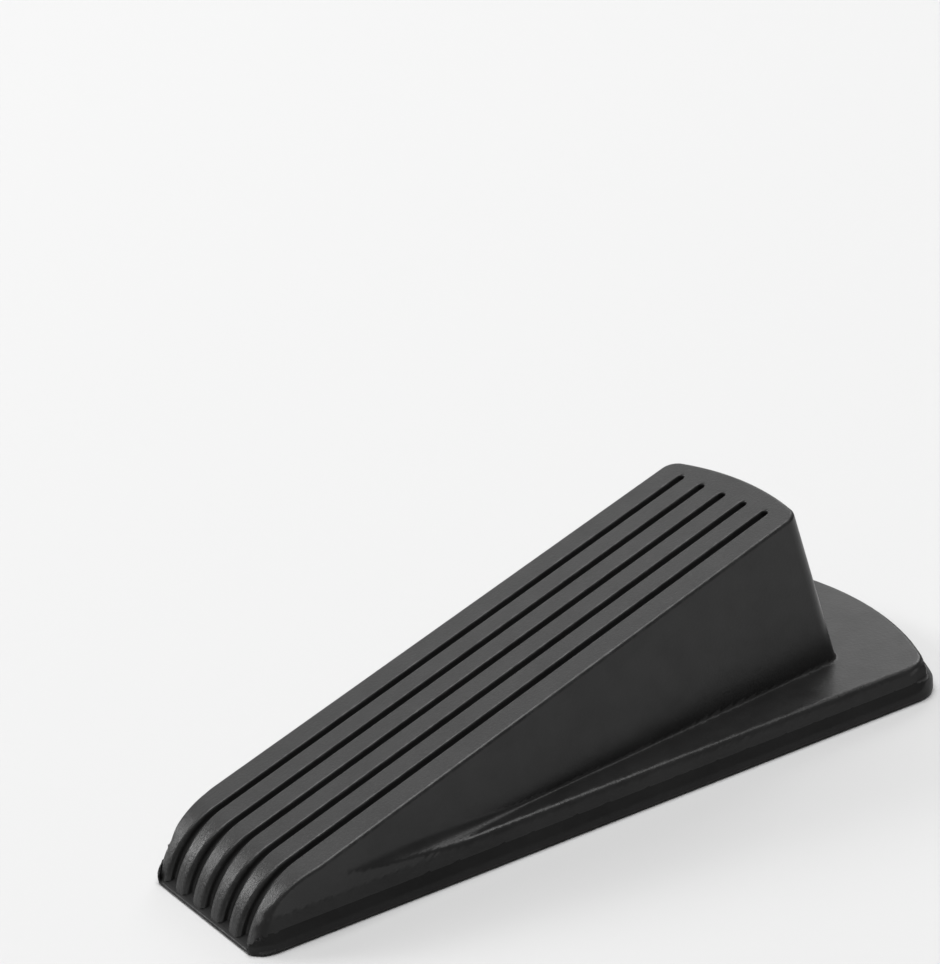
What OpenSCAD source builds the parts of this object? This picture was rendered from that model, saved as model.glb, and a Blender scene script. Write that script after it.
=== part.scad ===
// Rubber door wedge: a ribbed, cored moulding on a bonded anti-slip sole.
// +X runs from the toe to the heel, +Z is up, and the origin is on the floor,
// under the middle of the wedge. Everything is symmetric about Y = 0.

/* [Overall size] */
// Length along the floor, from the toe to the tip of the heel
wedge_l = 121; // [114:1:128]
// Width of the toe at the floor
toe_w = 29; // [28:0.5:31]
// Width that the straight flanks would reach at the tip of the heel
heel_w = 60; // [56:0.5:64]
// Height of the ramp at its back edge
ramp_h = 31.2; // [29:0.2:33]

/* [Ramp] */
// Slope of the ramp in degrees
ramp_a = 13.3; // [12.5:0.1:14]
// Width of the ramp
ramp_w = 29.4; // [29:0.1:30.4]
// Radius along the ramp's long edges
ramp_edge_r = 0.6; // [0.4:0.1:1.2]
// Distance from the tip of the heel forward to the ramp's back edge
ramp_back = 19.4; // [18:0.2:21]
// Radius of the back edge, seen from above
back_r = 50; // [45:1:60]
// Slope of the back wall, away from vertical
back_a = 10.8; // [8:0.2:12]
// Draft of the side walls
wall_a = 5.3; // [4.5:0.1:6]
// Radius of the nose, seen from the side
nose_r = 13.2; // [12.8:0.1:13.6]
// Distance from the toe back to where the nose starts to round over
nose_l = 10; // [9.6:0.1:10.4]

/* [Grooves] */
// Number of grooves along the ramp
groove_n = 5; // [3:2:5]
// Distance from one groove to the next
groove_pitch = 4.85; // [4.6:0.05:5]
// Width of a groove
groove_w = 1.3; // [1:0.1:1.8]
// Depth of a groove
groove_d = 1.3; // [0.8:0.1:1.6]
// Plain strip between a groove's end and the back edge
groove_back = 4.5; // [3.5:0.1:5.5]

/* [Foot] */
// Height of the foot slab's top
foot_h = 5.45; // [5:0.05:6]
// How far the sole's bead stands out past the foot slab
bead = 1.25; // [0.8:0.05:1.6]
// Radius of the heel, seen from above
heel_r = 53.2; // [48:0.2:60]
// Radius of the two heel corners
heel_corner_r = 5; // [4:0.5:7]
// Radius of the two toe corners
toe_corner_r = 5; // [4:0.5:6]
// Angle at which the toe's straight edge breaks into its corners
toe_break_a = 28; // [20:1:35]

/* [Sole] */
// Thickness of the sole
sole_t = 3.2; // [2.8:0.1:3.6]
// Thickness of the sole at the toe, under the nose
sole_toe_t = 1; // [0.8:0.1:1.4]
// Height of the bead's two ends, at the toe
bead_end_h = 1.8; // [1.4:0.1:2.4]
// Slant of the bead's two ends, away from vertical
bead_end_a = 35; // [20:1:45]
// Length over which the sole thins towards the toe
sole_thin_l = 10; // [8:0.5:12]
// Width of a tread groove
tread_w = 1.2; // [0.8:0.1:1.6]
// Depth of a tread groove
tread_d = 0.9; // [0.5:0.1:1.2]
// Distance from one tread groove to the next
tread_pitch = 5.5; // [5:0.5:8]
// Plain border round the tread
tread_rim = 4; // [3:0.5:6]

/* [Cores] */
// Number of cores in each of the two rows
core_n = 6; // [4:1:6]
// Length of a core along the wedge
core_l = 10.5; // [9:0.5:11]
// Width of a core across the wedge
core_w = 10; // [8:0.5:10.5]
// Rubber between two cores
core_rib = 2.5; // [2:0.25:3]
// Rubber between a core and the ramp
core_roof = 4; // [3.5:0.25:5]
// Height of the sole's locating keys
key_h = 2.4; // [1.5:0.1:2.8]
// Clearance round a locating key
key_gap = 0.2; // [0.1:0.05:0.4]

/* [Hidden] */

toe_x = -wedge_l / 2;
heel_x = wedge_l / 2;
flank_slope = (heel_w - toe_w) / 2 / wedge_l;
flank_a = atan(flank_slope);
back_x = heel_x - ramp_back;
nose_x = toe_x + nose_l;
nose_end_a = 78;
arc_steps = 8;
core_top_r = 1.5;
over = 1;
reach = wedge_l * 2;

// Height of the ramp's plane above the floor at x
function ramp_z(x) = ramp_h + (x - back_x) * tan(ramp_a);
// Unit vector square to the ramp, in X and Z
ramp_up = [-sin(ramp_a), cos(ramp_a)];
// Centre of the nose's arc, in X and Z
nose_c = [nose_x, ramp_z(nose_x)] - nose_r * ramp_up;

// Points of an arc about c, from angle a to angle b, without the first skip points
function arc(c, r, a, b, n = arc_steps, skip = 0) =
    [for (i = [skip:n]) let (t = a + (b - a) * i / n) c + r * [cos(t), sin(t)]];

// The same points mirrored in X's axis, in reverse order
function mirrored(p) = [for (i = [len(p) - 1:-1:0]) [p[i].x, -p[i].y]];

// Half-width between the flanks at x, drawn in by an inset
function half_w(x, inset = 0) = toe_w / 2 + (x - toe_x) * flank_slope - inset / cos(flank_a);

// Distance along X at which a line that follows the flank meets a circle about [cx, 0]
function flank_meets(cx, r, inset) =
    let (
        y0 = half_w(cx, inset),
        a = 1 + flank_slope * flank_slope,
        b = y0 * flank_slope,
        c = y0 * y0 - r * r
    ) cx + (-b + sqrt(b * b - a * c)) / a;

// Upper half of the footprint, from the toe to the tip of the heel, drawn in by an inset,
// and by another one at the toe's straight edge
function half_outline(inset, toe_inset) =
    let (
        rt = toe_corner_r - inset / 2,
        rh = heel_corner_r - inset / 2,
        cx = heel_x - heel_r,
        toe_cx = toe_x + toe_inset + rt * cos(toe_break_a),
        heel_cx = flank_meets(cx, heel_r - inset - rh, inset + rh),
        heel_cy = half_w(heel_cx, inset + rh),
        tip_a = atan2(heel_cy, heel_cx - cx)
    ) concat(
        arc([toe_cx, half_w(toe_cx, inset + rt)], rt, 180 - toe_break_a, 90 + flank_a),
        arc([heel_cx, heel_cy], rh, 90 + flank_a, tip_a),
        arc([cx, 0], heel_r - inset, tip_a, 0, 2 * arc_steps, skip = 1)
    );

// Whole footprint, drawn in by an inset round its sides, and by another one at the toe
module footprint(inset = 0, toe_inset = 0) {
    upper = half_outline(inset, toe_inset);
    lower = [for (p = mirrored(upper)) if (p.y < 0) p];
    polygon(concat(upper, lower));
}

// The path over the nose and up the ramp to x, raised by an amount
function top_path(raise, x) = concat(
    [for (i = [0:arc_steps])
        let (t = nose_end_a + (ramp_a - nose_end_a) * i / arc_steps)
        nose_c + (nose_r + raise) * [-sin(t), cos(t)]],
    [[x, ramp_z(x)] + raise * ramp_up]
);

// A shape drawn in X and Z, extruded across the wedge
module across(width) {
    rotate([90, 0, 0]) linear_extrude(width, center = true) children();
}

// Everything under the nose and the ramp, raised by an amount
module under_ramp(raise = 0) {
    path = top_path(raise, heel_x);
    across(heel_w) polygon(concat(path, [[heel_x, -over], [path[0].x, -over]]));
}

// Ramp and side walls as a bar that follows the ramp's slope
module ramp_bar() {
    flat = ramp_w / 2 - ramp_edge_r;
    drop = 2 * ramp_h;
    half = concat(
        arc([flat, -ramp_edge_r], ramp_edge_r, 90, wall_a, 5),
        [[ramp_w / 2 + drop * tan(wall_a), -drop]]
    );
    section = concat(half, [for (i = [len(half) - 1:-1:0]) [-half[i].x, half[i].y]]);
    translate([back_x, 0, ramp_h])
        rotate([0, -ramp_a, 0])
            translate([-wedge_l, 0, 0])
                rotate([90, 0, 90]) linear_extrude(reach) polygon(section);
}

// Everything in front of the curved, sloping back wall
module before_back_wall() {
    low_r = back_r + ramp_h * tan(back_a);
    high_r = back_r - over * tan(back_a);
    translate([back_x - back_r, 0, 0]) cylinder(r1 = low_r, r2 = high_r, h = ramp_h + over, $fn = 180);
    translate([toe_x - over, -heel_w / 2, -over])
        cube([back_x - back_r / 2 - toe_x, heel_w, ramp_h + 2 * over]);
}

// The block that carries the ramp
module block() {
    intersection() {
        ramp_bar();
        under_ramp();
        before_back_wall();
        linear_extrude(reach) footprint(bead);
    }
}

// The thin slab that spreads out round the block
module foot_slab() {
    intersection() {
        linear_extrude(foot_h) footprint(bead);
        under_ramp();
    }
}

// Grooves that run from the toe up the ramp, with round ends
module grooves() {
    end_x = back_x - groove_back;
    floor_path = top_path(-groove_d, end_x);
    open_path = top_path(over, end_x);
    closed = [for (i = [len(open_path) - 1:-1:0]) open_path[i]];
    for (i = [0:groove_n - 1]) translate([0, (i - (groove_n - 1) / 2) * groove_pitch, 0]) {
        across(groove_w) polygon(concat(floor_path, closed));
        translate([end_x, 0, ramp_z(end_x)])
            rotate([0, -ramp_a, 0])
                translate([0, 0, -groove_d]) cylinder(d = groove_w, h = groove_d + over, $fn = 24);
    }
}

// Rectangle with round corners, centred
module round_rect(l, w, r) {
    polygon(concat(
        arc([l / 2 - r, w / 2 - r], r, 0, 90, 4),
        arc([r - l / 2, w / 2 - r], r, 90, 180, 4),
        arc([r - l / 2, r - w / 2], r, 180, 270, 4),
        arc([l / 2 - r, r - w / 2], r, 270, 360, 4)
    ));
}

core_pitch = core_l + core_rib;
core_last_x = back_x - core_roof - core_l / 2;
// Centre of core i along the wedge, counted from the back
function core_x(i) = core_last_x - i * core_pitch;

// Puts a shape at core i on both sides of the middle rib
module at_core(i) {
    for (side = [-1, 1]) translate([core_x(i), side * (core_w + core_rib) / 2, 0]) children();
}

// Cores, closed by the ramp above and by the sole below
module cores() {
    intersection() {
        for (i = [0:core_n - 1]) at_core(i)
            linear_extrude(ramp_h) round_rect(core_l, core_w, core_top_r);
        under_ramp(-core_roof);
    }
}

// Bead round the flanks and the heel, with ends that slant back from the toe
module bead_rim() {
    intersection() {
        linear_extrude(sole_t) difference() {
            footprint();
            footprint(bead);
        }
        across(heel_w + over) polygon([
            [toe_x, 0],
            [heel_x + over, 0],
            [heel_x + over, sole_t],
            [toe_x + (sole_t - bead_end_h) * tan(bead_end_a), sole_t],
            [toe_x, bead_end_h]
        ]);
    }
}

// Plate inside the bead, with a top that slopes down to the toe
module sole_plate() {
    bead_rim();
    intersection() {
        linear_extrude(sole_t) footprint();
        across(heel_w + over) polygon([
            [toe_x - over, 0],
            [heel_x + over, 0],
            [heel_x + over, sole_t],
            [toe_x + sole_thin_l, sole_t],
            [toe_x, sole_toe_t],
            [toe_x - over, sole_toe_t]
        ]);
    }
}

// Keys that stand up into the first and the last cores
module locating_keys() {
    for (i = [0, core_n - 1]) at_core(i) translate([0, 0, sole_t - over])
        linear_extrude(key_h + over)
            round_rect(core_l - 2 * key_gap, core_w - 2 * key_gap, core_top_r - key_gap);
}

// Outline of one tread groove, which curves as the heel does
module tread_arc() {
    low_r = heel_r - tread_w / 2;
    high_r = heel_r + tread_w / 2;
    sweep = asin(heel_w / 2 / low_r);
    polygon(concat(
        arc([-heel_r, 0], high_r, -sweep, sweep, 2 * arc_steps),
        arc([-heel_r, 0], low_r, sweep, -sweep, 2 * arc_steps)
    ));
}

// Curved tread grooves across the sole, inside a plain border
module tread() {
    count = ceil(wedge_l / 2 / tread_pitch);
    intersection() {
        for (i = [-count:count]) translate([(i + 0.5) * tread_pitch, 0, -over])
            linear_extrude(tread_d + over) tread_arc();
        translate([0, 0, -over]) linear_extrude(sole_t) footprint(tread_rim, tread_rim);
    }
}

// Moulding with the ramp, the nose, the walls and the foot slab
module wedge_body() {
    color("#2b2b2b") difference() {
        union() {
            block();
            foot_slab();
        }
        grooves();
        cores();
        sole_plate();
    }
}

// Anti-slip sole, bonded under the body
module sole() {
    color("#202020") difference() {
        union() {
            sole_plate();
            locating_keys();
        }
        tread();
    }
}

wedge_body();
sole();
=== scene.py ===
"""Looks of a rubber door wedge: a ribbed, cored moulding on a bonded anti-slip sole.

Both pieces are meshed from distance fields, in millimetres, in the frame's own axes: +X from the
toe to the heel, +Z up, and the origin on the floor under the middle of the wedge.
"""
import math

import bpy
import numpy as np
from mathutils import Matrix, Vector


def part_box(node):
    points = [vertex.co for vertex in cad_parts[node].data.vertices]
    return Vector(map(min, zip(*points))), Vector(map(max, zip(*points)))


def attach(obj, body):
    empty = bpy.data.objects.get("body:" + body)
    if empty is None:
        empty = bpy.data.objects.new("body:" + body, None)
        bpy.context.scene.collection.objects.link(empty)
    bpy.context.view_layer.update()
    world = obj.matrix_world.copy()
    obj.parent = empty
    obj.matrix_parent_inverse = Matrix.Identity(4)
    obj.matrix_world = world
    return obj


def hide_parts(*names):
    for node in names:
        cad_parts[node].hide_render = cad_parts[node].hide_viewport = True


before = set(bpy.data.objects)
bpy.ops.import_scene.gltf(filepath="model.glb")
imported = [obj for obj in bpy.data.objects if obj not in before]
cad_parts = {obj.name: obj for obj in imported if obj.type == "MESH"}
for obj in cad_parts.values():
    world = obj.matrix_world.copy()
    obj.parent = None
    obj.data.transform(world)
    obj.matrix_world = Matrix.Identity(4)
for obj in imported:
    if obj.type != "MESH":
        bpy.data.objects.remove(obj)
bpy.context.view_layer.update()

MM = 0.001

# ---- Sizes, in millimetres ----
sole_lo, sole_hi = [np.array(c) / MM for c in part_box("sole")]
body_lo, body_hi = [np.array(c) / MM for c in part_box("wedge_body")]

TOE_X, HEEL_X = sole_lo[0], sole_hi[0]
RAMP_H = body_hi[2]                  # height of the ramp's back edge
BEAD = HEEL_X - body_hi[0]           # how far the sole stands out past the foot slab
FOOT_H = 5.45                        # height of the foot slab's top
TOE_W, HEEL_W = 29.0, 60.0           # width between the flanks at the toe, and in line with the heel's tip
HEEL_R, HEEL_CORNER_R, TOE_CORNER_R = 53.2, 5.35, 5.0
TOE_BREAK_A = math.radians(28)       # angle at which the toe's straight edge breaks into its corners

RAMP_A = math.radians(13.3)          # slope of the ramp
RAMP_W = 29.4
BACK_X = HEEL_X - 19.4               # where the ramp's back edge is
BACK_R, BACK_A = 50.0, math.radians(10.8)
WALL_A = math.radians(5.3)
NOSE_R, NOSE_X = 13.2, TOE_X + 10.0  # the nose's radius, and where it meets the ramp

GROOVE_N, GROOVE_PITCH, GROOVE_W, GROOVE_D = 5, 4.85, 1.15, 1.3
GROOVE_END_X = BACK_X - 4.5

SOLE_T, SOLE_TOE_T, SOLE_THIN_L = 3.2, 0.6, 10.0
TREAD_PITCH, TREAD_W, TREAD_D, TREAD_RIM = 5.5, 1.2, 0.9, 4.0

CORE_N, CORE_L, CORE_W, CORE_RIB, CORE_ROOF = 6, 10.5, 10.0, 2.5, 4.0
KEY_H, KEY_GAP = 2.4, 0.2

CROWN_R, NOSE_CROWN_R = 0.6, 3.2     # rounding along the ramp's edges, and where they end at the toe
NOSE_SOFT_L = 5.5                    # length over which the one grows into the other
CORNER_R = 2.8                       # rounding of the block's back corners
CREASE_R, CREASE_GROWS = 0.35, 2.6   # fillet round the foot of the block, and how much it grows
CREASE_X, CREASE_GROW_L = -12.0, 25  # where it starts to grow towards the toe, and over what length
SLAB_R = 0.7                         # rounding of the foot slab's top edge
LIP_R, NOSE_LIP_R = 0.35, 0.8        # rounding of a groove's lips along the ramp, and round the nose
NOSE_LIP_L = 11.0                    # length over which the one grows into the other
NOSE_GROOVE_GROWS = 0.5              # how much wider a groove is at the toe
GROOVE_R = 0.45                      # rounding of a groove's floor
CORE_R = 1.5                         # rounding of a core's upright edges
SEAM_R = 0.06                        # rounding where the body meets the sole
BOND = 0.75                          # how deep the body's underside is set into the sole's top
BODY_LOW_Z = 0.3                     # how low the body's hidden underside may come at the toe
BEAD_SHELF = 0.3                     # flat part of the sole's top between the body and the bead, at the heel
BEAD_A = math.radians(45)            # slope of the bead's top at the heel
BEAD_TOP_R, BEAD_LOW_R = 0.9, 0.7
SKIRT_A, SKIRT_Z = math.radians(18), 0.9    # slope of the flanks, and the height it starts at
SEAM_A, SEAM_Z = math.radians(25), 3.05     # slope of the sole's edge, and the height the body covers it at
TONGUE = 0.5                         # how far the sole's edge runs on up, hidden inside the body
TONGUE_END = 1 / 40                  # share of the slope's fade at the heel over which that dies out
SEAM_OUT = 1.5 * BEAD                # how far the sole's slope fades outwards at the heel
SKIRT_END_X, SKIRT_FADE_L = HEEL_X - 5.0, 8.0   # where the flanks' slope has died out, and over what length
SKIRT_R = 0.4                        # fillet between that slope and the side of the foot slab
TOE_TOP_R, TOE_LIP_R = 0.4, 0.15     # rounding of the sole's top and bottom edges at the toe
TOE_SOFT_L = 4.0                     # length over which the sole's edges change to those
SOLE_BEND_R = 8.0                    # bend of the sole's top where it starts to thin
HORN_FLARE = 0.45                    # how fast the bead's two ends stand out from the nose below the seam
RIM_GAP = 0.15                       # how far the sole's rim stays outside the side of the foot slab
BREAK_R = 0.3                        # rounding where the toe's edge breaks into a corner
TREAD_END_R, TREAD_R, TREAD_LIP_R = 0.4, 0.3, 0.2   # rounding of a tread groove's ends, floor and lips
KEY_R, KEY_FOOT_R = 0.4, 0.2         # rounding of a key's top edge, and fillet round its foot


# ---- Distance fields ----
class Field:
    """Signed distance, negative inside, and its gradient."""

    def __init__(self, d, g):
        self.d = d
        self.g = g

    def __neg__(self):
        return Field(-self.d, [-c for c in self.g])

    def grown(self, r):
        return Field(self.d - r, self.g)


def plane(p, normal, offset):
    d = sum(n * c for n, c in zip(normal, p)) - offset
    return Field(d, [np.full_like(d, n) for n in normal])


def both(a, b, r):
    """The space inside both fields, with its edge rounded to radius r."""
    g = np.clip(sum(i * j for i, j in zip(a.g, b.g)), -0.9995, 0.9995)
    u, v = a.d + r, b.d + r
    edge = (u > g * v) & (v > g * u)
    q = 1 - g * g
    far = np.sqrt(np.maximum((u * u + v * v - 2 * g * u * v) / q, 1e-12))
    top = a.d > b.d
    wa = np.where(edge, (u - g * v) / (q * far), top)
    wb = np.where(edge, (v - g * u) / (q * far), ~top)
    d = np.where(edge, far - r, np.maximum(a.d, b.d))
    return Field(d, [wa * i + wb * j for i, j in zip(a.g, b.g)])


def either(a, b, r):
    """The space inside either field, with a fillet of radius r between them."""
    return -both(-a, -b, r)


def ramp_z(x):
    return RAMP_H + (x - BACK_X) * math.tan(RAMP_A)


RAMP_DIR = (math.cos(RAMP_A), math.sin(RAMP_A))
RAMP_UP = (-math.sin(RAMP_A), math.cos(RAMP_A))
NOSE_Z = ramp_z(NOSE_X)
NOSE_C = (NOSE_X - NOSE_R * RAMP_UP[0], NOSE_Z - NOSE_R * RAMP_UP[1])


def along_ramp(p):
    """Distance from the nose's start up the ramp."""
    return (p[0] - NOSE_X) * RAMP_DIR[0] + (p[2] - NOSE_Z) * RAMP_DIR[1]


def ramp_field(p):
    """Everything under the ramp and the nose."""
    flat = plane(p, (RAMP_UP[0], 0, RAMP_UP[1]), NOSE_X * RAMP_UP[0] + NOSE_Z * RAMP_UP[1])
    dx, dz = p[0] - NOSE_C[0], p[2] - NOSE_C[1]
    r = np.maximum(np.hypot(dx, dz), 1e-9)
    on_ramp = along_ramp(p) > 0
    d = np.where(on_ramp, flat.d, r - NOSE_R)
    gx = np.where(on_ramp, flat.g[0], dx / r)
    gz = np.where(on_ramp, flat.g[2], dz / r)
    return Field(d, [gx, np.zeros_like(d), gz])


def wall_field(p):
    """Everything between the two side walls, which draw in towards the ramp."""
    c, s = math.cos(WALL_A), math.sin(WALL_A)
    rise = (p[0] - BACK_X) * RAMP_UP[0] + (p[2] - RAMP_H) * RAMP_UP[1]
    d = (np.abs(p[1]) - RAMP_W / 2) * c + rise * s
    return Field(d, [np.full_like(d, s * RAMP_UP[0]), np.sign(p[1]) * c, np.full_like(d, s * RAMP_UP[1])])


def back_field(p):
    """Everything in front of the curved, sloping back wall."""
    c, s = math.cos(BACK_A), math.sin(BACK_A)
    dx = p[0] - (BACK_X - BACK_R)
    r = np.maximum(np.hypot(dx, p[1]), 1e-9)
    d = (r - BACK_R) * c - (RAMP_H - p[2]) * s
    ahead = dx < BACK_R / 2
    d = np.where(ahead, -BACK_R / 2 * c, d)
    return Field(d, [dx / r * c, p[1] / r * c, np.full_like(d, s)])


FLANK_SLOPE = (HEEL_W - TOE_W) / 2 / (HEEL_X - TOE_X)
FLANK_A = math.atan(FLANK_SLOPE)


def flanks(p, inset):
    """Everything between the straight flanks of the foot, drawn in by an inset."""
    c, s = math.cos(FLANK_A), math.sin(FLANK_A)
    half = TOE_W / 2 + (p[0] - TOE_X) * FLANK_SLOPE
    d = (np.abs(p[1]) - half) * c + inset
    return Field(d, [np.full_like(d, -s), np.sign(p[1]) * c, np.zeros_like(d)])


def heel(p, inset):
    """Everything in front of the curve of the heel, drawn in by an inset."""
    dx = np.maximum(p[0] - (HEEL_X - HEEL_R), 0)
    r = np.maximum(np.hypot(dx, p[1]), 1e-9)
    return Field(r - HEEL_R + inset, [dx / r, p[1] / r, np.zeros_like(r)])


def sides(p, inset, toe_inset):
    """Everything between the flanks and round the toe's two corners, without the toe's straight edge."""
    corner_r = TOE_CORNER_R - inset / 2
    out = corner_r * (1 - math.cos(TOE_BREAK_A))
    return both(flanks(p, inset), plane(p, (-1, 0, 0), -TOE_X - toe_inset + out), corner_r)


def footprint(p, inset, toe_inset):
    """Everything inside the outline of the foot, drawn in by an inset."""
    toe = plane(p, (-1, 0, 0), -TOE_X - toe_inset)
    return both(both(sides(p, inset, toe_inset), toe, BREAK_R), heel(p, inset), HEEL_CORNER_R - inset / 2)


def smooth(t):
    t = np.clip(t, 0, 1)
    return t * t * (3 - 2 * t)


def slanted(side, p, angle, z):
    """Everything under a slope that rises inwards from height z on a side's outline."""
    c, s = math.cos(angle), math.sin(angle)
    return Field(side.d * c + (p[2] - z) * s, [side.g[0] * c, side.g[1] * c, np.full_like(side.d, s)])


def skirt(p, angle, z, fade):
    """The slope down the flanks and round the toe's corners, and how much of it is left at the heel."""
    along = smooth((SKIRT_END_X - p[0]) / SKIRT_FADE_L)
    return slanted(sides(p, 0, 0), p, angle, z).grown(fade * (1 - along)), along


def nose_crown(p):
    """Rounding of the ramp's edges, which grows round the nose."""
    return CROWN_R + (NOSE_CROWN_R - CROWN_R) * towards_toe(p, NOSE_SOFT_L)


def horn_cap(p):
    """Everything behind the bead's two ends, which follow the nose and flare out from it below the seam."""
    cap = ramp_field(p)
    return Field(cap.d - HORN_FLARE * (SEAM_Z - p[2]), [cap.g[0], cap.g[1], cap.g[2] + HORN_FLARE])


def under_sole_top(p):
    """Everything below the top of the sole, which slopes down to the toe."""
    slope = math.atan((SOLE_T - SOLE_TOE_T) / SOLE_THIN_L)
    flat = plane(p, (0, 0, 1), SOLE_T)
    n = (-math.sin(slope), 0, math.cos(slope))
    return both(flat, plane(p, n, TOE_X * n[0] + SOLE_TOE_T * n[2]), SOLE_BEND_R)


def fold(v, pitch, first, last):
    """Distance of v from the nearest multiple of pitch, counted from first to last."""
    return v - pitch * np.clip(np.round(v / pitch), first, last)


def groove_field(p, ramp):
    """Grooves with round floors and round ends, which follow the ramp and the nose."""
    side = (GROOVE_N - 1) / 2
    y = fold(p[1], GROOVE_PITCH, -side, side)
    end = (GROOVE_END_X - NOSE_X) / RAMP_DIR[0]
    s = np.maximum(along_ramp(p) - end, 0)
    r = np.maximum(np.hypot(s, y), 1e-9)
    wide = GROOVE_W + NOSE_GROOVE_GROWS * towards_toe(p, NOSE_LIP_L)
    slot = Field(r - wide / 2, [s / r * RAMP_DIR[0], y / r, s / r * RAMP_DIR[1]])
    return both(slot, -ramp.grown(-GROOVE_D), GROOVE_R)


def box_field(p, centre, half, r):
    """An upright bar with round corners, seen from above; its height has no limit."""
    dx, dy = p[0] - centre[0], p[1] - centre[1]
    zero = np.zeros_like(dx)
    a = Field(np.abs(dx) - half[0], [np.sign(dx), zero, zero])
    b = Field(np.abs(dy) - half[1], [zero, np.sign(dy), zero])
    return both(a, b, r)


CORE_X = [BACK_X - CORE_ROOF - CORE_L / 2 - i * (CORE_L + CORE_RIB) for i in range(CORE_N)]
CORE_Y = (CORE_W + CORE_RIB) / 2


def core_field(p, ramp):
    """The cores, which come up from the sole to a roof under the ramp."""
    x = fold(p[0] - CORE_X[0], CORE_L + CORE_RIB, 1 - CORE_N, 0)
    bars = box_field((x, np.abs(p[1]), p[2]), (0, CORE_Y), (CORE_L / 2, CORE_W / 2), CORE_R)
    bars.g[1] = bars.g[1] * np.sign(p[1])
    return both(bars, ramp.grown(-CORE_ROOF), CORE_R / 2)


def towards_toe(p, length):
    """0 behind the last length of the wedge, growing smoothly to 1 at the toe."""
    return smooth((TOE_X + length - p[0]) / length)


def body_field(p):
    ramp = ramp_field(p)
    block = both(wall_field(p), back_field(p), CORNER_R)
    crease_r = CREASE_R + CREASE_GROWS * smooth((CREASE_X - p[0]) / CREASE_GROW_L)
    solid = either(block, plane(p, (0, 0, 1), FOOT_H), crease_r)
    solid = both(solid, footprint(p, BEAD, 0), SLAB_R)
    slope, _ = skirt(p, SKIRT_A, SKIRT_Z, -BEAD)
    slope = both(both(slope, heel(p, BEAD), SEAM_R), plane(p, (0, 0, 1), FOOT_H - SLAB_R), SEAM_R)
    solid = either(solid, slope, SKIRT_R)
    solid = both(solid, ramp, nose_crown(p))
    solid = both(solid, -groove_field(p, ramp), LIP_R + (NOSE_LIP_R - LIP_R) * towards_toe(p, NOSE_LIP_L))
    solid = both(solid, -core_field(p, ramp), SEAM_R)
    solid = both(solid, plane(p, (0, 0, -1), -BODY_LOW_Z), SEAM_R)
    return both(solid, -under_sole_top(p).grown(-BOND), SEAM_R)


def tread_field(p):
    """Curved grooves across the underside of the sole, inside a plain border."""
    bend = np.sqrt(np.maximum(HEEL_R ** 2 - p[1] ** 2, 1.0))
    x = p[0] - (bend - HEEL_R) - TREAD_PITCH / 2
    count = math.ceil((HEEL_X - TOE_X) / 2 / TREAD_PITCH)
    x = fold(x, TREAD_PITCH, -count, count)
    c, s = bend / HEEL_R, p[1] / HEEL_R
    slot = Field(np.abs(x) * c - TREAD_W / 2, [np.sign(x) * c, np.sign(x) * s, np.zeros_like(x)])
    rim = footprint(p, TREAD_RIM, TREAD_RIM)
    return both(both(slot, rim, TREAD_END_R), plane(p, (0, 0, 1), TREAD_D), TREAD_R)


def key_field(p):
    """Keys that stand up from the sole into the first and the last cores."""
    half = (CORE_L / 2 - KEY_GAP, CORE_W / 2 - KEY_GAP)
    mirror = (p[0], np.abs(p[1]), p[2])
    keys = [box_field(mirror, (x, CORE_Y), half, CORE_R - KEY_GAP) for x in (CORE_X[0], CORE_X[-1])]
    pair = either(keys[0], keys[1], KEY_GAP / 2)
    pair.g[1] = pair.g[1] * np.sign(p[1])
    return both(pair, plane(p, (0, 0, 1), SOLE_T + KEY_H), KEY_R)


def sole_field(p):
    foot, top = footprint(p, 0, 0), plane(p, (0, 0, 1), SOLE_T)
    seam_inset = (SEAM_Z - SKIRT_Z) * math.tan(SKIRT_A)
    slope, along = skirt(p, SEAM_A, SEAM_Z - seam_inset / math.tan(SEAM_A), SEAM_OUT)
    top.d -= TONGUE * smooth(1 - (1 - along) / TONGUE_END)
    bead = slanted(heel(p, 0), p, BEAD_A, SOLE_T - BEAD + BEAD_SHELF)
    edge = both(both(foot, slope, BEAD_TOP_R), bead, BEAD_TOP_R)
    rim = both(both(edge, top, SEAM_R), horn_cap(p), nose_crown(p))
    plate = both(edge, under_sole_top(p), SEAM_R + (TOE_TOP_R - SEAM_R) * towards_toe(p, TOE_SOFT_L))
    plate = either(plate, both(rim, -footprint(p, BEAD - RIM_GAP, 0), SEAM_R), SEAM_R)
    solid = either(plate, key_field(p), KEY_FOOT_R)
    low_r = BEAD_LOW_R + (TOE_LIP_R - BEAD_LOW_R) * towards_toe(p, TOE_SOFT_L)
    solid = both(solid, plane(p, (0, 0, -1), 0), low_r)
    return both(solid, -tread_field(p), TREAD_LIP_R)


# ---- From a field to a mesh ----
ROWS = 16                            # grid rows whose distances are worked out at a time
MAX_DROP, SLIDE = 0.3, 0.4           # longest step to the surface, and share of each evening-out move
FULL_BEND = 1 / 0.8                  # bend, in 1/mm, that the masks show in full
TOP_BAND = 0.15                      # how near the ramp's surface counts as its top
FLOOR_BAND = 0.05                    # how near the floor counts as tread


def lines(start, *runs):
    """Grid lines from start through each (end, step) run."""
    out = [start]
    for end, step in runs:
        n = max(1, round(abs(end - out[-1]) / step))
        out.extend(np.linspace(out[-1], end, n + 1)[1:])
    return np.array(out)


def mirrored(half):
    return np.concatenate([-half[:0:-1], half])


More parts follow.
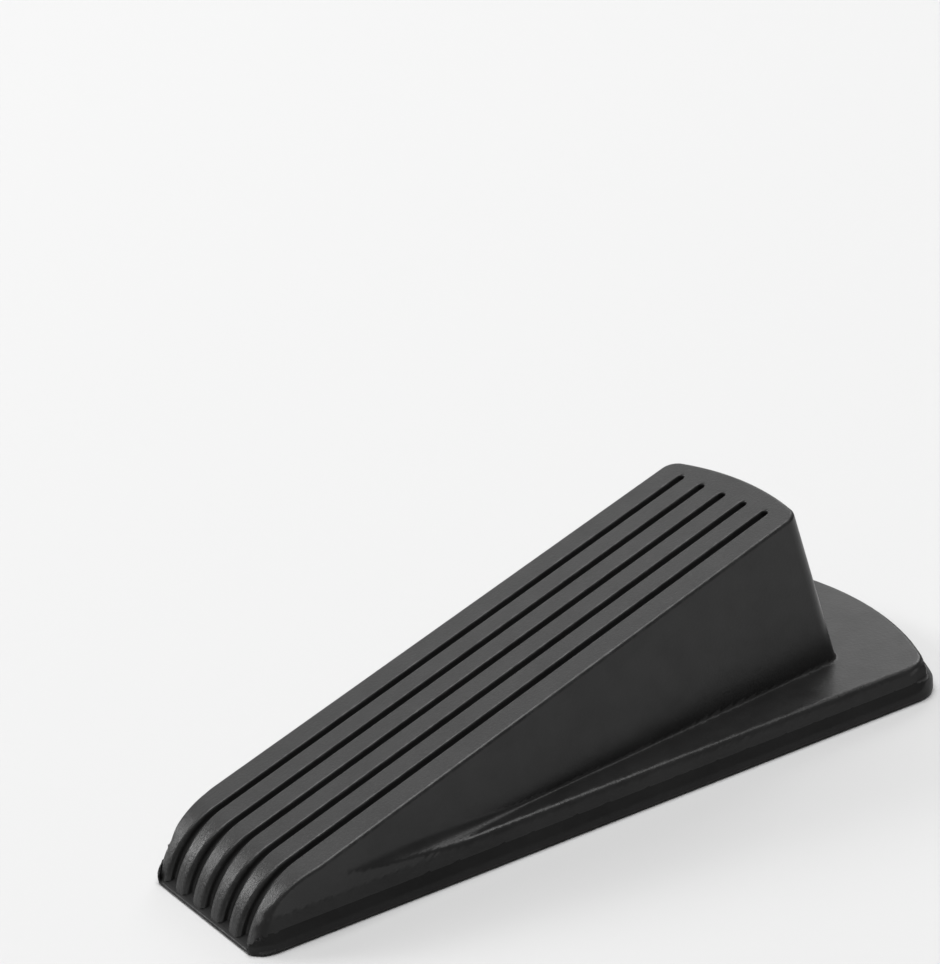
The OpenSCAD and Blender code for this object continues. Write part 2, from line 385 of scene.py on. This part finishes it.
def net(field, grid, place):
    """Quads of a surface net: a vertex in each grid cell that the surface crosses."""
    shape = [len(g) for g in grid]
    at = np.meshgrid(*grid, indexing="ij")
    p = place(at)
    d = np.empty(shape)
    for i in range(0, shape[0], ROWS):
        d[i:i + ROWS] = field([c[i:i + ROWS] for c in p]).d
    cells = [n - 1 for n in shape]
    total = np.zeros([3] + cells)
    count = np.zeros(cells)
    quads = []
    number = -np.ones(cells, int)
    crossings = []
    for axis in range(3):
        lo = [slice(None)] * 3
        hi = [slice(None)] * 3
        lo[axis], hi[axis] = slice(0, -1), slice(1, None)
        d0, d1 = d[tuple(lo)], d[tuple(hi)]
        cut = np.nonzero((d0 < 0) != (d1 < 0))
        f0, f1 = d0[cut], d1[cut]
        t = f0 / (f0 - f1)
        here = [c[tuple(lo)][cut] * (1 - t) + c[tuple(hi)][cut] * t for c in p]
        around = []
        for step in ((-1, -1), (0, -1), (0, 0), (-1, 0)):
            cell = [c.copy() for c in cut]
            for other, s in zip([a for a in range(3) if a != axis], step):
                cell[other] += s
            around.append(cell)
            np.add.at(count, tuple(cell), 1)
            for k in range(3):
                np.add.at(total[k], tuple(cell), here[k])
        crossings.append((around, (f0 < 0) == (axis != 1)))
    used = count > 0
    number[used] = np.arange(used.sum())
    for around, forward in crossings:
        q = np.stack([number[tuple(c)] for c in around], 1)
        quads.append(np.where(forward[:, None], q, q[:, ::-1]))
    co = np.stack([total[k][used] / count[used] for k in range(3)], 1)
    return co, np.concatenate(quads)


def settle(field, co, quads, rounds=3):
    """Slides the vertices to even out the quads, and drops them back on the surface."""
    def drop(co):
        for _ in range(3):
            f = field(list(co.T))
            co = co - np.clip(f.d, -MAX_DROP, MAX_DROP)[:, None] * np.stack(f.g, 1)
        return co

    co = drop(co)
    ends = np.concatenate([quads[:, [i, (i + 1) % 4]] for i in range(4)])
    for _ in range(rounds):
        total = np.zeros_like(co)
        count = np.bincount(ends[:, 0], minlength=len(co))
        for k in range(3):
            total[:, k] = np.bincount(ends[:, 0], co[ends[:, 1], k], minlength=len(co))
        n = np.stack(field(list(co.T)).g, 1)
        move = total / count[:, None] - co
        move -= n * (move * n).sum(1)[:, None]
        co = drop(co + SLIDE * move)
    return co, np.stack(field(list(co.T)).g, 1)


def bend(co, quads, normals):
    """How sharply the surface bends at each vertex, in 1/mm: above 0 on an edge, below 0 in a crease."""
    ends = np.concatenate([quads[:, [i, (i + 1) % 4]] for i in range(4)])
    step = co[ends[:, 1]] - co[ends[:, 0]]
    change = normals[ends[:, 1]] - normals[ends[:, 0]]
    turn = (change * step).sum(1) / np.maximum((step * step).sum(1), 1e-6)
    count = np.bincount(ends[:, 0], minlength=len(co))
    return np.bincount(ends[:, 0], turn, minlength=len(co)) / count


def mask(mesh, name, values):
    """A number at each vertex, from 0 to 1, for the material to read."""
    data = mesh.attributes.new(name, "FLOAT", "POINT").data
    data.foreach_set("value", np.clip(values, 0, 1).astype(np.float32))


def mesh_piece(name, field, grid, place):
    co, quads = net(field, grid, place)
    co, normals = settle(field, co, quads)
    curve = bend(co, quads, normals)
    mesh = bpy.data.meshes.new(name)
    mesh.from_pydata((co * MM).tolist(), [], quads.tolist())
    mesh.validate()
    mesh.polygons.foreach_set("use_smooth", np.ones(len(mesh.polygons), bool))
    mesh.normals_split_custom_set_from_vertices(normals.tolist())
    mask(mesh, "edge", curve / FULL_BEND)
    mask(mesh, "crease", -curve / FULL_BEND)
    on_ramp = np.exp(-np.square(ramp_field(list(co.T)).d / TOP_BAND)) * (normals[:, 2] > 0)
    mask(mesh, "tread_top", on_ramp + (co[:, 2] < FLOOR_BAND))
    piece = bpy.data.objects.new(name, mesh)
    bpy.context.collection.objects.link(piece)
    return piece


def make_body():
    """The moulding, on a grid that leans with the ramp, so that its rows follow the grooves."""
    def place(at):
        s, y, n = at
        return [NOSE_X + s * RAMP_DIR[0] + n * RAMP_UP[0], y, NOSE_Z + s * RAMP_DIR[1] + n * RAMP_UP[1]]

    s = lines(-13, (2, 0.45), (88, 1.15), (97, 0.3), (102, 0.5), (109, 0.35))
    lip = GROOVE_W / 2 + 0.4
    half = [0.0]
    for i in range(GROOVE_N // 2 + 1):
        mid = i * GROOVE_PITCH
        half.extend(np.linspace(half[-1], mid + lip, 6 if i == 0 else 12)[1:])
        half.extend(np.linspace(half[-1], mid + GROOVE_PITCH - lip, 5)[1:])
    y = mirrored(np.concatenate([half[:-1], lines(half[-1], (16.4, 0.22), (29.5, 0.5))]))
    n = lines(-36, (-2, 0.55), (0.6, 0.18))
    return mesh_piece("body_moulding", body_field, (s, y, n), place)


def make_sole():
    x = lines(TOE_X - 1, (HEEL_X + 1, 0.45))
    y = mirrored(lines(0, (30, 0.45)))
    z = lines(-0.5, (SOLE_T + KEY_H + 0.5, 0.22))
    return mesh_piece("sole_plate", sole_field, (x, y, z), lambda at: at)


body = make_body()
sole = make_sole()


# ---- Materials ----
class Nodes:
    """Short calls for building one material's node tree, with lengths in millimetres."""

    def __init__(self, name):
        self.mat = bpy.data.materials.new(name)
        self.mat.use_nodes = True
        self.tree = self.mat.node_tree
        self.shader = self.tree.nodes["Principled BSDF"]
        self.place = self.node("ShaderNodeTexCoord").outputs["Object"]

    def node(self, kind, **settings):
        node = self.tree.nodes.new(kind)
        for key, value in settings.items():
            setattr(node, key, value)
        return node

    def feed(self, node, inputs):
        for key, value in inputs.items():
            if isinstance(value, bpy.types.NodeSocket):
                self.tree.links.new(value, node.inputs[key])
            else:
                node.inputs[key].default_value = value

    def mapped(self, stretch):
        node = self.node("ShaderNodeMapping")
        self.feed(node, {"Vector": self.place, "Scale": stretch})
        return node.outputs["Vector"]

    def noise(self, size, detail=2.0, rough=0.5, stretch=None, warp=0.0):
        """Noise from 0 to 1 whose blotches are about size millimetres across."""
        node = self.node("ShaderNodeTexNoise")
        vector = self.mapped(stretch) if stretch else self.place
        self.feed(node, {"Vector": vector, "Scale": 1 / (size * MM), "Detail": detail, "Roughness": rough,
                         "Distortion": warp})
        return node.outputs["Fac"]

    def pits(self, size, spread):
        """Cells of about size millimetres: 0 at their centres."""
        node = self.node("ShaderNodeTexVoronoi", feature="SMOOTH_F1")
        self.feed(node, {"Vector": self.place, "Scale": 1 / (size * MM), "Randomness": spread})
        return node.outputs["Distance"]

    def mask(self, name):
        return self.node("ShaderNodeAttribute", attribute_name=name).outputs["Fac"]

    def math(self, kind, a, b=0.0):
        node = self.node("ShaderNodeMath", operation=kind)
        self.feed(node, {0: a, 1: b})
        return node.outputs[0]

    def span(self, value, lo, hi, to_lo=0.0, to_hi=1.0):
        """Value from lo to hi, as a number from to_lo to to_hi."""
        node = self.node("ShaderNodeMapRange", interpolation_type="SMOOTHSTEP")
        self.feed(node, {"Value": value, "From Min": lo, "From Max": hi, "To Min": to_lo, "To Max": to_hi})
        return node.outputs["Result"]

    def blend(self, fac, a, b):
        node = self.node("ShaderNodeMix", data_type="RGBA")
        self.feed(node, {"Factor": fac, "A": a, "B": b})
        return node.outputs["Result"]

    def bump(self, height, depth, strength=1.0, under=None):
        """Relief depth millimetres deep where height goes from 0 to 1."""
        node = self.node("ShaderNodeBump")
        inputs = {"Height": height, "Distance": depth * MM, "Strength": strength}
        if under is not None:
            inputs["Normal"] = under
        self.feed(node, inputs)
        return node.outputs["Normal"]


def grey(value, warm=0.0):
    return (value * (1 + warm), value, value * (1 - warm), 1)


def rubber(name, base, grain, satin, specular):
    """Moulded black rubber: mottled, grained, scuffed on its edges and dusty in its creases."""
    n = Nodes(name)
    mottle = n.span(n.noise(7, 4, 0.6, warp=0.4), 0.35, 0.65)
    cloud = n.span(n.noise(28, 2, 0.5), 0.3, 0.7)
    fine = n.noise(0.32, 3, 0.65)
    top, edge, crease = n.mask("tread_top"), n.mask("edge"), n.mask("crease")

    colour = n.blend(mottle, grey(base * 0.86), grey(base * 1.14))
    colour = n.blend(n.math("MULTIPLY", cloud, 0.35), colour, grey(base * 1.35, 0.02))
    speckle = n.math("MULTIPLY", n.span(fine, 0.45, 0.75), n.math("MULTIPLY", top, 0.6))
    colour = n.blend(speckle, colour, grey(base * 2.2))
    worn = n.math("MULTIPLY", n.span(n.noise(1.6, 4, 0.7), 0.42, 0.62), n.span(edge, 0.15, 0.8))
    colour = n.blend(n.math("MULTIPLY", worn, 0.7), colour, grey(base * 2.6))
    dust = n.math("MULTIPLY", n.span(n.noise(3.0, 4, 0.7), 0.4, 0.7), n.span(crease, 0.1, 0.7))
    colour = n.blend(n.math("MULTIPLY", dust, 0.1), colour, grey(base * 3.0, 0.06))

    scuff = n.span(n.noise(0.5, 3, 0.6, stretch=(0.7, 1, 1), warp=0.3), 0.64, 0.78)
    scuff = n.math("MULTIPLY", scuff, n.math("MULTIPLY", top, n.span(n.noise(11, 2), 0.45, 0.6)))
    gloss = n.span(n.noise(4, 3, 0.6), 0.3, 0.7, satin - 0.04, satin + 0.05)
    gloss = n.math("ADD", gloss, n.math("MULTIPLY", top, 0.06))
    gloss = n.math("SUBTRACT", gloss, n.math("MULTIPLY", worn, 0.08))
    gloss = n.math("ADD", gloss, n.math("MULTIPLY", scuff, 0.07))

    relief = n.bump(n.noise(6.5, 2, 0.5), 0.03)
    relief = n.bump(n.pits(0.45, 1.0), 0.012, 1.0, relief)
    depth = n.math("MULTIPLY", n.math("ADD", n.math("MULTIPLY", top, 2.4), 0.4), fine)
    relief = n.bump(depth, grain, 1.0, relief)
    relief = n.bump(scuff, -0.004, 1.0, relief)
    n.feed(n.shader, {"Base Color": colour, "Roughness": gloss, "Normal": relief,
                      "Specular IOR Level": specular})
    return n.mat


body.data.materials.append(rubber("body_rubber", 0.013, 0.022, 0.33, 0.36))
# Painted shade: the sole's base tone is set darker than the body's so that its low edges near the floor look
# shaded; the rubber itself is one colour.
sole.data.materials.append(rubber("sole_rubber", 0.009, 0.022, 0.46, 0.2))

for piece, node, slot in ((body, "wedge_body", "body_rubber"), (sole, "sole", "sole_rubber")):
    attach(piece, "root")
    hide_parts(node)

# ---- Floor, light and camera ----
FLOOR_HALF, FLOOR_TONE, FLOOR_ROUGH = 2.0, 0.58, 0.8
corners = [(-FLOOR_HALF, -FLOOR_HALF, 0), (FLOOR_HALF, -FLOOR_HALF, 0),
           (FLOOR_HALF, FLOOR_HALF, 0), (-FLOOR_HALF, FLOOR_HALF, 0)]
mesh = bpy.data.meshes.new("floor")
mesh.from_pydata(corners, [], [(0, 1, 2, 3)])
floor = bpy.data.objects.new("floor", mesh)
bpy.context.collection.objects.link(floor)
pale = bpy.data.materials.new("pale_floor")
pale.use_nodes = True
pale.node_tree.nodes["Principled BSDF"].inputs["Base Color"].default_value = grey(FLOOR_TONE)
pale.node_tree.nodes["Principled BSDF"].inputs["Roughness"].default_value = FLOOR_ROUGH
mesh.materials.append(pale)


FAR = 2.5                            # distance of the lamps, in metres


def area_light(name, place, width, power):
    """A square lamp that faces the wedge; place, width and power are given for a distance of 1 m."""
    data = bpy.data.lights.new(name, "AREA")
    data.size = width * FAR
    data.energy = power * FAR ** 2
    lamp = bpy.data.objects.new(name, data)
    lamp.location = [c * FAR for c in place]
    lamp.rotation_mode = "QUATERNION"
    lamp.rotation_quaternion = Vector(lamp.location).to_track_quat("Z", "Y")
    bpy.context.collection.objects.link(lamp)


area_light("top", (0, -0.05, 1), 0.8, 12)
area_light("back", (0.35, 0.75, 0.56), 0.9, 2.9)
area_light("key", (0.75, 0.43, 0.5), 0.3, 1.25)
area_light("nose", (-0.48, 0.77, 0.42), 0.3, 4.1)
world = bpy.data.worlds.new("studio")
bpy.context.scene.world = world
world.use_nodes = True
world.node_tree.nodes["Background"].inputs["Color"].default_value = (1, 1, 1, 1)
world.node_tree.nodes["Background"].inputs["Strength"].default_value = 0.15

CAMERA_AZ, CAMERA_EL, CAMERA_ROLL = math.radians(-32.88), math.radians(24.1), math.radians(-6.96)
CAMERA_AIM = Vector((-1.51, 10.21, 42.71)) * MM
CAMERA_FAR = 388.9 * MM
cam_data = bpy.data.cameras.new("camera")
cam_data.lens = 99.73
cam = bpy.data.objects.new("camera", cam_data)
bpy.context.collection.objects.link(cam)
flat = math.cos(CAMERA_EL)
back = Vector((math.sin(CAMERA_AZ) * flat, -math.cos(CAMERA_AZ) * flat, math.sin(CAMERA_EL)))
right = Vector((math.cos(CAMERA_AZ), math.sin(CAMERA_AZ), 0))
up = back.cross(right)
across = right * math.cos(CAMERA_ROLL) + up * math.sin(CAMERA_ROLL)
upward = up * math.cos(CAMERA_ROLL) - right * math.sin(CAMERA_ROLL)
turn = Matrix((across, upward, back)).transposed()
cam.matrix_world = Matrix.Translation(CAMERA_AIM + back * CAMERA_FAR) @ turn.to_4x4()
bpy.context.scene.camera = cam
bpy.context.scene.view_settings.view_transform = "Standard"
